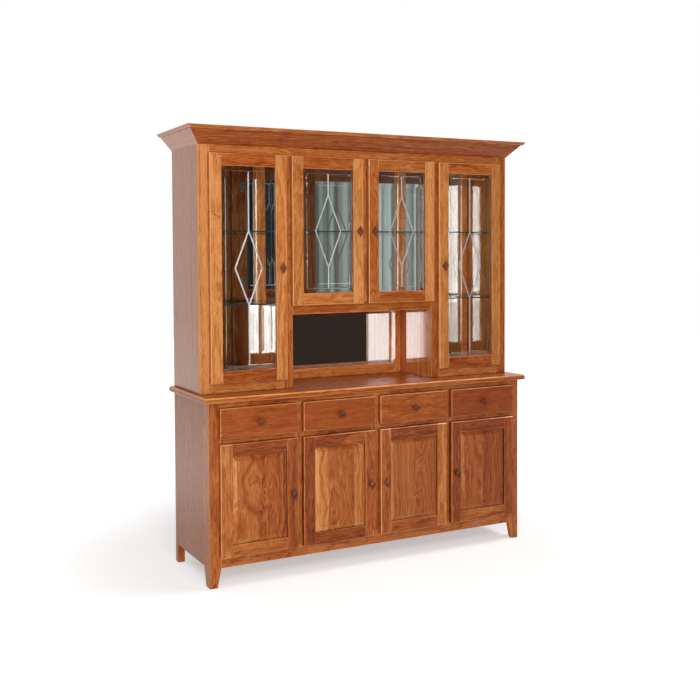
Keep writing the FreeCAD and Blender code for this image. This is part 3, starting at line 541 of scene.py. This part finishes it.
def ease_edges(shape, width):
    """Round the sharp edges of a solid a little."""
    sharp = [edge for edge in shape.edges
             if edge.is_manifold and edge.calc_face_angle() > SHARP_ANGLE]
    if sharp:
        bmesh.ops.bevel(shape, geom=sharp, offset=width, segments=EASE_SEGMENTS, profile=0.5,
                        affect="EDGES", clamp_overlap=True)


def board_axes(shape):
    """Indices of the axes along the grain, across the face and through the thickness, with the box."""
    low = Vector(min(vertex.co[axis] for vertex in shape.verts) for axis in range(3))
    high = Vector(max(vertex.co[axis] for vertex in shape.verts) for axis in range(3))
    order = sorted(range(3), key=lambda axis: low[axis] - high[axis])
    return order, low, high


def joint_places(look, low, high, draw):
    """Where the strips of a board meet, across its face: at the shares that its look gives, or drawn."""
    width = high - low
    if "joints" in look:
        return [low + share * width for share in look["joints"]]
    if width < WIDEST_BOARD:
        return []
    count = max(2, round(width / STRIP_WIDTH))
    pitch = width / count
    return [low + pitch * (index + draw.uniform(-STRIP_SHIFT, STRIP_SHIFT)) for index in range(1, count)]


def cut_across(shape, across, places):
    """Cut the faces of a board where its strips meet."""
    normal = Vector((0, 0, 0))
    normal[across] = 1.0
    for place in places:
        bmesh.ops.bisect_plane(shape, geom=shape.verts[:] + shape.edges[:] + shape.faces[:],
                               plane_co=normal * place, plane_no=normal, dist=CUT_SLACK)


def draw_strips(look, count, draw):
    """For each strip of a board its place in the tree, and its tone, value and figure."""
    tones = look.get("tones")
    figures = look.get("figures")
    strips = []
    for index in range(count):
        tree_place = Vector((draw.uniform(0, LENGTH_OFFSET), draw.uniform(-PITH_SIDE, PITH_SIDE),
                             draw.choice((-1, 1)) * draw.uniform(*PITH_DEPTH)))
        tone = tones[index] if tones else draw.gauss(look["tone"], look["spread"])
        figure = figures[index] if figures else max(0.0, draw.gauss(MEAN_FIGURE, FIGURE_SPREAD))
        value = draw.gauss(look.get("value", 1.0), VALUE_SPREAD)
        strips.append((tree_place, Vector((tone, value, figure))))
    return strips


def painted_bevel_tone(face):
    """Painted light and shade on a raised panel's bevel: how much lighter than its field it is, lighter
    where it faces left or down, darker where it faces right or up.
    """
    return PAINTED_BEVEL_SIDES * abs(face.normal.x) - PAINTED_BEVEL_LEFT * face.normal.x - PAINTED_BEVEL_LOW * face.normal.z


def face_values(face, look, values):
    """A strip's tone, value and figure, changed on a panel's bevel by painted light and shade, and on an
    edge by a painted highlight.
    """
    # Painted light and shade on the bevels of raised panels
    if look.get("bevelled"):
        return values + Vector((painted_bevel_tone(face), 0, 0))
    # Painted highlight: an edge is made lighter in tone and value
    if look.get("worn", True) and is_edge(face):
        worn = values + Vector((EDGE_HIGHLIGHT_TONE, 0, 0))
        worn.y *= EDGE_HIGHLIGHT_VALUE
        return worn
    return values


def add_board(target, layers, draw, faces, look, ease, finish_at):
    """Add one board to a piece, cut into strips where it is glued up, each with its own grain."""
    shape = solid_mesh(faces)
    (along, across, through), low, high = board_axes(shape)
    grain_axis = look.get("grain_axis", along)
    if across == grain_axis:
        across = along
    along = grain_axis
    ease_edges(shape, ease)
    joints = joint_places(look, low[across], high[across], draw)
    cut_across(shape, across, joints)
    strips = draw_strips(look, len(joints) + 1, draw)
    middle = (low + high) / 2
    made = {vertex: target.verts.new(vertex.co) for vertex in shape.verts}
    grain_layer, board_layer = layers
    for face in shape.faces:
        copy = target.faces.new([made[vertex] for vertex in face.verts])
        copy.smooth = True
        copy.material_index = finish_at(face)
        centre = face.calc_center_median()[across]
        tree_place, values = strips[sum(centre > place for place in joints)]
        values = face_values(face, look, values)
        for loop in copy.loops:
            place = loop.vert.co - middle
            loop[grain_layer] = Vector((place[along], place[across], place[through])) + tree_place
            loop[board_layer] = values
    shape.free()


def wooden_piece(node, slot, look_of, ease=EASE, solids=solids_of, finish_at=plain_all_over, plain=None,
                 outer="sheen_cherry"):
    """A piece that stands for a node of boards. Each board gets its look, and each face its finish."""
    draw = random.Random(node)
    target = bmesh.new()
    layers = (target.loops.layers.float_vector.new("grain"), target.loops.layers.float_vector.new("board"))
    for faces in solids(frame["nodes"][node].data):
        add_board(target, layers, draw, faces, look_of(faces), ease, finish_at)
    mesh = bpy.data.meshes.new(node + "_boards")
    target.to_mesh(mesh)
    target.free()
    mesh.materials.append(materials[plain or slot])
    if finish_at is not plain_all_over:
        mesh.materials.append(materials["polished_cherry"])
        mesh.materials.append(materials[outer])
    piece = add_object(node + "_boards", mesh)
    weighted = piece.modifiers.new("flat_faces", "WEIGHTED_NORMAL")
    weighted.keep_sharp = True
    stand_for(piece, node)


# Looks of the boards, by their place

def same(**look):
    """One look for all the boards of a piece."""
    return lambda faces: look


def inside_look(faces):
    """Boards inside the cabinet, level ones a touch lighter than upright ones."""
    return {"tone": 0.55 if is_upright(faces) else 0.56, "spread": 0.05}


def hutch_frame_look(faces):
    """The hutch's left outer stile is its lightest, and the rail over the nook its reddest."""
    centre = centre_of(faces)
    if is_upright(faces):
        tone = 0.95 if centre.x < LEFT_STILE else 0.57
        return {"tone": tone, "spread": 0.03, "figures": (MEAN_FIGURE,)}
    if centre.z < NOOK_RAIL_LOW:
        return {"tone": 0.78, "spread": 0.03}
    return {"tone": 0.53 if centre.z < NOOK_RAIL_HIGH else 0.64, "spread": 0.03}


def hutch_side_look(faces):
    """The outer sides, and the partitions between the bays, painted brighter to stand in for the sheen they
    catch.
    """
    if abs(centre_of(faces).x) > INNER_WALL:
        return {"tone": 0.72, "spread": 0.03, "value": 0.80}
    return {"tone": 0.60, "spread": 0.03, "value": 1.20}


def back_look(faces):
    """One wide sheet with upright grain, and the posts and frames on it, painted lighter against the shade
    inside the hutch.
    """
    low, high = box_of(faces)
    if high.x - low.x > WIDEST_POST and high.z - low.z > WIDEST_POST:
        return {"tone": 0.45, "spread": 0.04, "joints": (), "grain_axis": UPRIGHT}
    return {"tone": 0.70, "spread": 0.04, "value": 1.25}


def base_frame_look(faces):
    """The rails at the foot and under the counter are the most orange, the one under the counter painted
    lighter against the shadow that the counter casts on it.
    """
    height = centre_of(faces).z
    outer_rail = height < FOOT_RAIL_HIGH or height > COUNTER_RAIL_LOW
    return {"tone": 0.66 if outer_rail else 0.52, "spread": 0.03}


def post_look(faces):
    """The posts at the front have a painted highlight along their edges."""
    return {"tone": 0.55, "spread": 0.05, "worn": centre_of(faces).y < 0}


def crown_look(faces):
    """The crown's ends and the cap on it are lighter than the moulding along the front."""
    centre = centre_of(faces)
    lighter = centre.z > CAP_LOW or abs(centre.x) > INNER_WALL
    return {"tone": 0.60 if lighter else 0.34, "spread": 0.03, "joints": ()}


def door_look(node, tones):
    """A look for a door's members, from the tones of its left and right stiles, low and top rails."""
    low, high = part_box(node)
    middle = (low + high) / 2
    left, right, bottom, top = tones

    def look_of(faces):
        centre = centre_of(faces)
        if is_upright(faces):
            tone = left if centre.x < middle.x else right
            return {"tone": tone, "spread": 0.02, "figures": (MEAN_FIGURE,)}
        return {"tone": bottom if centre.z < middle.z else top, "spread": 0.02}
    return look_of


# Tones of each door's left and right stiles, low and top rails
HUTCH_DOOR_TONES = {1: (0.91, 0.74, 0.30, 0.49), 2: (0.78, 0.96, 0.65, 0.43), 3: (0.57, 0.95, 0.51, 0.63),
                    4: (0.80, 0.81, 0.37, 0.57)}
BASE_DOOR_TONES = {1: (0.59, 0.37, 0.53, 0.26), 2: (0.20, 0.48, 0.22, 0.27), 3: (0.60, 0.67, 0.42, 0.20),
                   4: (0.20, 0.38, 0.53, 0.28)}
DRAWER_TONES = {1: 0.36, 2: 0.35, 3: 0.41, 4: 0.28}

# Boards of each raised panel: where they meet, their tone and how figured they are
PANEL_LOOKS = {
    1: {"joints": (0.52,), "tones": (0.62, 0.48), "figures": (0.25, 0.8)},
    2: {"joints": (0.28, 0.76), "tones": (0.80, 0.55, 0.78), "figures": (0.2, 0.6, 0.3)},
    3: {"joints": (0.52,), "tones": (0.61, 0.50), "figures": (0.35, 0.3)},
    4: {"joints": (0.5,), "tones": (0.51, 0.35), "figures": (0.3, 0.3)},
}

for node in ("base_floor_and_shelves", "hutch_decks"):
    wooden_piece(node, "cherry", inside_look)
wooden_piece("base_posts", "cherry", post_look, solids=post_solids, finish_at=outer_sides,
             outer="soft_sheen_cherry")
wooden_piece("countertop", "cherry", same(tone=0.45, spread=0.04), finish_at=outer_sides,
             outer="soft_sheen_cherry")
wooden_piece("base_sides", "cherry", same(tone=0.65, spread=0.03, value=0.75), finish_at=outer_sides,
             outer="soft_sheen_cherry")
wooden_piece("base_face_frame", "cherry", base_frame_look, finish_at=polished_edges)
wooden_piece("crown_molding", "cherry", crown_look, finish_at=polished_walls)
wooden_piece("hutch_face_frame", "cherry", hutch_frame_look, finish_at=polished_edges)
wooden_piece("hutch_sides", "cherry", hutch_side_look, finish_at=polished_walls)
wooden_piece("hutch_back", "plywood", back_look, finish_at=rear_and_walls, plain="cherry", outer="plywood")
wooden_piece("base_back", "plywood", back_look)
wooden_piece("drawer_runners", "drawer_maple", same(tone=0.5, spread=0.08))
for door in DOORS:
    wooden_piece(f"drawer_{door}_front", "cherry", same(tone=DRAWER_TONES[door], spread=0.0, joints=()),
                 finish_at=polished_edges, plain="even_cherry")
    wooden_piece(f"drawer_{door}_box", "drawer_maple", same(tone=0.5, spread=0.1))
    for node, tones in ((f"base_door_{door}_frame", BASE_DOOR_TONES[door]),
                        (f"hutch_door_{door}_frame", HUTCH_DOOR_TONES[door])):
        wooden_piece(node, "cherry", door_look(node, tones), finish_at=polished_edges)
    # The panels' bevels get painted light and shade
    wooden_piece(f"base_door_{door}_panel", "cherry",
                 same(grain_axis=UPRIGHT, bevelled=True, **PANEL_LOOKS[door]), plain="figured_cherry")
    for knob in (f"drawer_{door}_knob", f"base_door_{door}_knob", f"hutch_door_{door}_knob"):
        wooden_piece(knob, "knob_wood", same(tone=0.5, spread=0.08, joints=(), worn=False), ease=KNOB_EASE)


# Glass and metal

def groove_cutter(start, end, share, front):
    """A long V-shaped bar that cuts one line into the front of the glass, at a share of the full size."""
    shape = bmesh.new()
    run = (end - start).normalized()
    # The bar stands as far out of the glass as it cuts in, so there it reaches a full width to each side
    aside = run.cross(Vector((0, 1, 0))) * (GROOVE_WIDTH * share)
    inward = Vector((0, GROOVE_DEPTH * share, 0))
    rings = []
    for point in (start, end):
        point = Vector((point.x, front, point.z))
        rings.append([shape.verts.new(point + aside - inward), shape.verts.new(point - aside - inward),
                      shape.verts.new(point + inward)])
    first, last = rings
    shape.faces.new(first)
    shape.faces.new(last[::-1])
    for index in range(len(first)):
        after = (index + 1) % len(first)
        shape.faces.new([first[index], last[index], last[after], first[after]])
    bmesh.ops.recalc_face_normals(shape, faces=shape.faces)
    mesh = bpy.data.meshes.new("groove")
    shape.to_mesh(mesh)
    shape.free()
    return add_object("groove", mesh)


def cut_groove(piece, cutter):
    """Cut one line into a piece of glass."""
    knife = piece.modifiers.new("groove", "BOOLEAN")
    knife.object = cutter
    knife.solver = "EXACT"
    bpy.context.view_layer.update()
    evaluated = piece.evaluated_get(bpy.context.evaluated_depsgraph_get())
    cut = bpy.data.meshes.new_from_object(evaluated)
    piece.modifiers.clear()
    piece.data = cut
    bpy.data.objects.remove(cutter)


def on_line(polygon, start, end):
    """Whether a face of the glass is a side of the line cut from start to end."""
    run = end - start
    place = Vector((polygon.center.x, 0, polygon.center.z)) - start
    away = (place - run * (place.dot(run) / run.length_squared)).length
    return away < GROOVE_WIDTH / 2 and abs(-polygon.normal.y - GROOVE_SLOPE) < GROOVE_SLOPE_SLACK


def glass_lines(door):
    """Start and end of the lines on a door's glass: a diamond with two upright lines, and a border."""
    low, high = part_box(f"hutch_door_{door}_glass")
    frame_low, frame_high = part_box(f"hutch_door_{door}_frame")
    middle = (low.x + high.x) / 2
    height = TALL_DIAMOND_HEIGHT if door in TALL_DOORS else SHORT_DIAMOND_HEIGHT
    edge = DOOR_MEMBER + GLASS_BEVEL
    top = Vector((middle, 0, frame_high.z - edge))
    bottom = Vector((middle, 0, frame_low.z + edge))
    upper = Vector((middle, 0, height + DIAMOND_HALF_HEIGHT))
    lower = Vector((middle, 0, height - DIAMOND_HALF_HEIGHT))
    left = Vector((middle - DIAMOND_HALF_WIDTH, 0, height))
    right = Vector((middle + DIAMOND_HALF_WIDTH, 0, height))
    pattern = [(top, upper), (bottom, lower), (upper, left), (upper, right), (lower, left), (lower, right)]
    field = [Vector((frame_low.x + edge, 0, bottom.z)), Vector((frame_high.x - edge, 0, bottom.z)),
             Vector((frame_high.x - edge, 0, top.z)), Vector((frame_low.x + edge, 0, top.z))]
    border = list(zip(field, field[1:] + field[:1]))
    return pattern, border


def cut_glass(door):
    """A door's bevelled glass with its pattern cut into it, and a fine clear line along the bevel."""
    node = f"hutch_door_{door}_glass"
    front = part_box(node)[0].y
    pattern, border = glass_lines(door)
    shape = solid_mesh(solids_of(frame["nodes"][node].data)[0])
    mesh = bpy.data.meshes.new(node + "_cut")
    shape.to_mesh(mesh)
    shape.free()
    piece = add_object(node + "_cut", mesh)
    for lines, share in ((pattern, FULL_CUT), (border, BORDER_CUT)):
        for start, end in lines:
            cut_groove(piece, groove_cutter(start, end, share, front))
    piece.data.materials.clear()
    piece.data.materials.append(materials["door_glass"])
    piece.data.materials.append(materials["cut_line"])
    for polygon in piece.data.polygons:
        polygon.material_index = int(any(on_line(polygon, start, end) for start, end in pattern))
    stand_for(piece, node)


def edged_glass(node):
    """Glass shelves, clear through their faces and dark green along their edges."""
    piece = add_object(node + "_edged", frame["nodes"][node].data.copy())
    piece.data.materials.clear()
    piece.data.materials.append(materials["shelf_glass"])
    piece.data.materials.append(materials["shelf_edge"])
    for polygon in piece.data.polygons:
        polygon.material_index = 0 if abs(polygon.normal.z) > FACING else 1
    stand_for(piece, node)


def dress_node(node, slot):
    """Give a solid that stays as it is its finish."""
    mesh = frame["nodes"][node].data
    mesh.materials.clear()
    mesh.materials.append(materials[slot])


for door in DOORS:
    cut_glass(door)
edged_glass("glass_shelves")
for row in frame["record"]["subparts"]:
    if not frame["nodes"][row["node"]].hide_render:
        dress_node(row["node"], row["material_slot"])


# Stage, light and camera

def flat_stage(name, corners, material):
    """A flat sheet that isn't part of the object."""
    mesh = bpy.data.meshes.new(name)
    mesh.from_pydata(corners, [], [range(len(corners))])
    mesh.materials.append(material)
    piece = add_object(name, mesh)
    return piece


def seen_directly(tree):
    """One for rays that show the background itself: from the camera, off gloss and through glass."""
    path = tree.node("LightPath").outputs
    seen = tree.math("MAXIMUM", path["Is Camera Ray"], path["Is Glossy Ray"])
    return tree.math("MAXIMUM", seen, path["Is Transmission Ray"])


def floor_material():
    """A pale floor that keeps the shadow of the piece and is white further out."""
    tree = Tree("studio_floor")
    matt = tree.node("BsdfDiffuse", Color=FLOOR_COLOUR)
    distance = tree.node("VectorMath", {"operation": "LENGTH"})
    tree.feed(distance.inputs[0], tree.node("TexCoord").outputs["Object"])
    glow = tree.node("MapRange", {"interpolation_type": "SMOOTHSTEP"}, Value=distance.outputs["Value"],
                     From_Min=FLOOR_WHITE_FROM, From_Max=FLOOR_WHITE_TO, To_Min=FLOOR_GLOW_NEAR,
                     To_Max=FLOOR_GLOW_FAR)
    strength = tree.math("MULTIPLY", glow.outputs["Result"], seen_directly(tree))
    light = tree.node("Emission", Color=WHITE, Strength=strength)
    both = tree.node("AddShader")
    tree.links.new(matt.outputs["BSDF"], both.inputs[0])
    tree.links.new(light.outputs["Emission"], both.inputs[1])
    return tree.finish(both.outputs["Shader"])


def card_material():
    """Glowing tones along the flat card, lighter and darker in painted bands of light and shade, over one
    dark tone below.
    """
    tree = Tree("graded_card")
    place = tree.node("SeparateXYZ", Vector=tree.node("TexCoord").outputs["Object"]).outputs
    share = tree.node("MapRange", Value=place["X"], From_Min=CARD_LEFT, From_Max=CARD_RIGHT)
    width = CARD_RIGHT - CARD_LEFT
    stops = [((step - CARD_LEFT) / width, tone) for step, tone in CARD_TONES]
    light_bands = tree.noise_along(place["X"], CARD_BANDS, detail=2.0)
    strength = tree.node("MapRange", Value=light_bands, From_Min=CARD_BAND_FROM, From_Max=CARD_BAND_TO,
                         To_Min=CARD_DARKEST, To_Max=CARD_LIGHTEST)
    banded_light = tree.node("VectorMath", {"operation": "SCALE"}, Scale=strength.outputs["Result"])
    tree.feed(banded_light.inputs[0], tree.ramp(share.outputs["Result"], stops))
    height = tree.node("MapRange", Value=place["Z"], From_Min=CARD_LOW_FROM, From_Max=CARD_LOW_TO)
    graded = tree.node("MixRGB", Fac=height.outputs["Result"], Color1=(*CARD_LOW_TONE, 1.0),
                       Color2=banded_light.outputs["Vector"])
    shader = tree.node("Emission", Color=graded.outputs["Color"], Strength=1.0)
    return tree.finish(shader.outputs["Emission"])


def lamp(name, place, aim, size, radiance):
    """A soft box of a given size, as bright all over as its radiance."""
    data = bpy.data.lights.new(name, "AREA")
    data.shape = "RECTANGLE"
    data.size, data.size_y = size
    data.energy = radiance * math.pi * size[0] * size[1]
    made = add_object(name, data)
    made.location = place
    made.rotation_euler = (Vector(aim) - Vector(place)).to_track_quat("-Z", "Y").to_euler()
    made.visible_camera = False
    return made


def light_world():
    """Even light all round, white where it is seen."""
    world = bpy.data.worlds.new("studio")
    world.use_nodes = True
    bpy.context.scene.world = world
    tree = Tree(tree=world.node_tree)
    strength = tree.node("MapRange", Value=seen_directly(tree), To_Min=WORLD_LIGHT, To_Max=1.0)
    background = tree.node("Background", Color=WHITE, Strength=strength.outputs["Result"])
    output = tree.node("OutputWorld")
    tree.links.new(background.outputs["Background"], output.inputs["Surface"])


def place_camera():
    """The photograph's camera: turned to the right, tipped down a little and rolled, its frame shifted."""
    flat = math.cos(CAMERA_PITCH)
    forward = Vector((math.sin(CAMERA_YAW) * flat, math.cos(CAMERA_YAW) * flat, -math.sin(CAMERA_PITCH)))
    level = Vector((math.cos(CAMERA_YAW), -math.sin(CAMERA_YAW), 0.0))
    upright = level.cross(forward)
    right = level * math.cos(CAMERA_ROLL) + upright * math.sin(CAMERA_ROLL)
    up = upright * math.cos(CAMERA_ROLL) - level * math.sin(CAMERA_ROLL)
    turn = Matrix((right, up, -forward)).transposed()
    data = bpy.data.cameras.new("camera")
    data.sensor_width = SENSOR_WIDTH
    data.lens = FOCAL_PIXELS / IMAGE_SIZE * SENSOR_WIDTH
    data.shift_x = 0.5 - PRINCIPAL_PIXEL[0] / IMAGE_SIZE
    data.shift_y = PRINCIPAL_PIXEL[1] / IMAGE_SIZE - 0.5
    made = add_object("camera", data)
    made.matrix_world = Matrix.Translation(CAMERA_PLACE) @ turn.to_4x4()
    bpy.context.scene.camera = made


half = FLOOR_SIZE / 2
floor_corners = [(-half, -half, 0), (half, -half, 0), (half, half, 0), (-half, half, 0)]
flat_stage("floor", floor_corners, floor_material())
card_corners = [(CARD_LEFT, CARD_BEHIND, 0.0), (CARD_RIGHT, CARD_BEHIND, 0.0),
                (CARD_RIGHT, CARD_BEHIND, CARD_TOP), (CARD_LEFT, CARD_BEHIND, CARD_TOP)]
card = flat_stage("graded_card", card_corners, card_material())
card.visible_camera = False

lamp("camera_box_high", place=(-2.326, -4.10, 2.0), aim=(-0.3, 0.18, 2.0), size=(0.52, 2.1), radiance=15.0)
lamp("camera_box_low", place=(-2.326, -4.10, 0.55), aim=(-0.3, 0.18, 0.55), size=(0.8, 0.8), radiance=8.5)
lamp("bevel_box", place=(-1.42, -4.10, 1.6), aim=(0.2, 0.2, 1.6), size=(0.3, 2.9), radiance=8.0)
lamp("key_box", place=(-2.2, -3.6, 3.1), aim=(-0.3, 0, 1.4), size=(2.2, 1.6), radiance=4.9)
rim = lamp("rim_box", place=(-2.6, 2.6, 2.0), aim=(-0.9, 0.1, 1.3), size=(2.0, 2.0), radiance=1.5)
rim.visible_glossy = False
lamp("top_box", place=(2.9, -0.9, 4.5), aim=(0.3, 0, 1.0), size=(1.8, 1.8), radiance=8.0)

light_world()
place_camera()
bpy.context.scene.view_settings.view_transform = "Standard"
